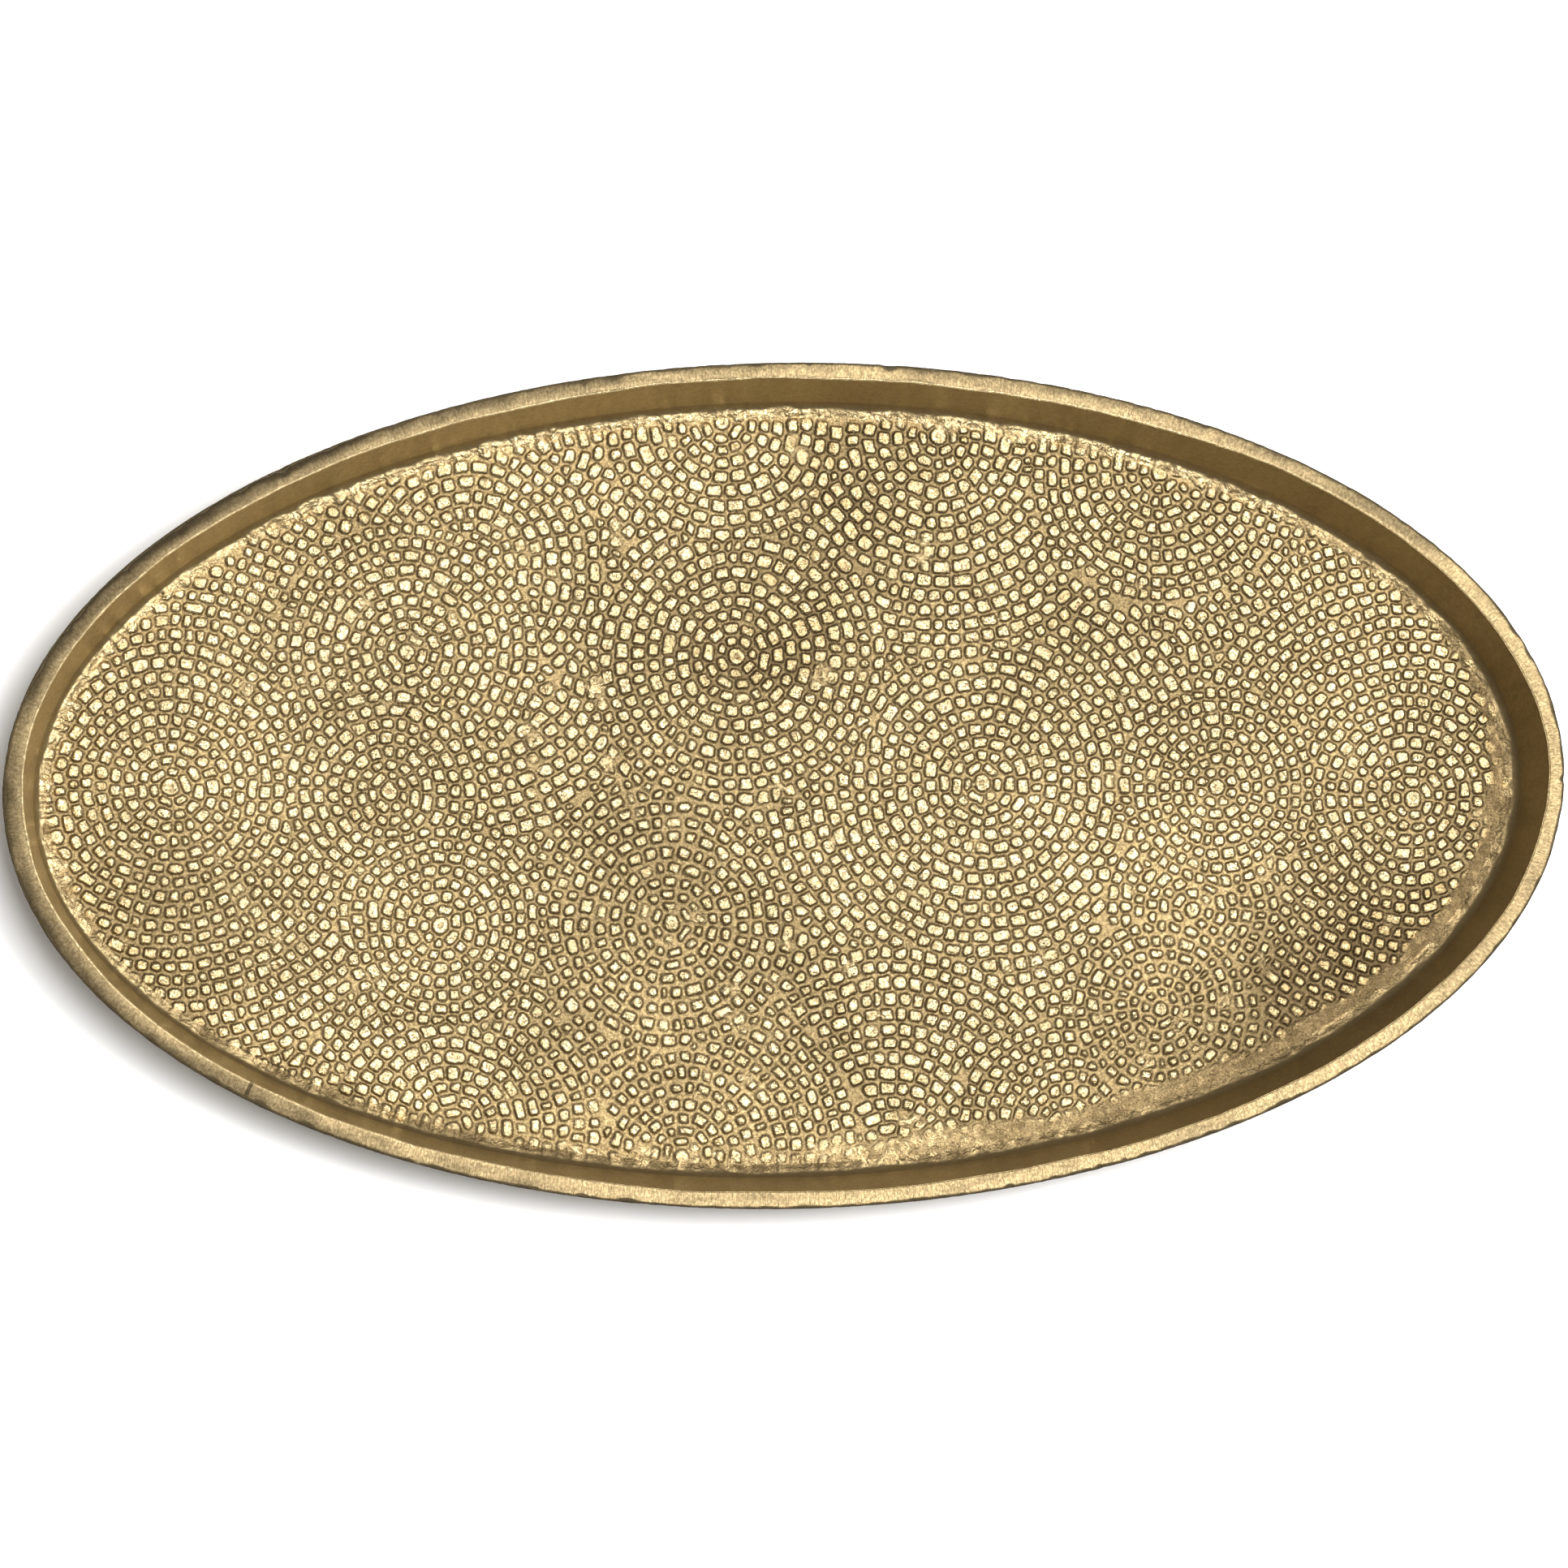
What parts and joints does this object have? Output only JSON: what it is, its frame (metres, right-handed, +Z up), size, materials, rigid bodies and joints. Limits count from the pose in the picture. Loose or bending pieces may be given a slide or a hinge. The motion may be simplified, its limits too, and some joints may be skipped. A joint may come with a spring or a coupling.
{
  "type": "oval serving tray",
  "caption": "Oval cast serving tray with a raised wall, a flat dressed rim and a floor covered in small cast mosaic tiles in overlapping rosettes, standing on glued rubber feet.",
  "frame": {"origin": "centre of the plane that the rubber feet stand on, under the middle of the oval", "axes": "+X along the tray's length, +Y across it towards the back, +Z up"},
  "size_m": [0.465, 0.25, 0.025],
  "materials": {
    "cast_brass": "sand-cast, tumbled and toned: bright worn tile tops and dressed satin rim, brown toning in the joints and on the wall",
    "foot_rubber": "moulded matt black rubber"
  },
  "bodies": {
    "root": {"tray_casting": "cast_brass", "foot_front_left": "foot_rubber", "foot_front_right": "foot_rubber", "foot_back_left": "foot_rubber", "foot_back_right": "foot_rubber"}
  },
  "joints": []
}
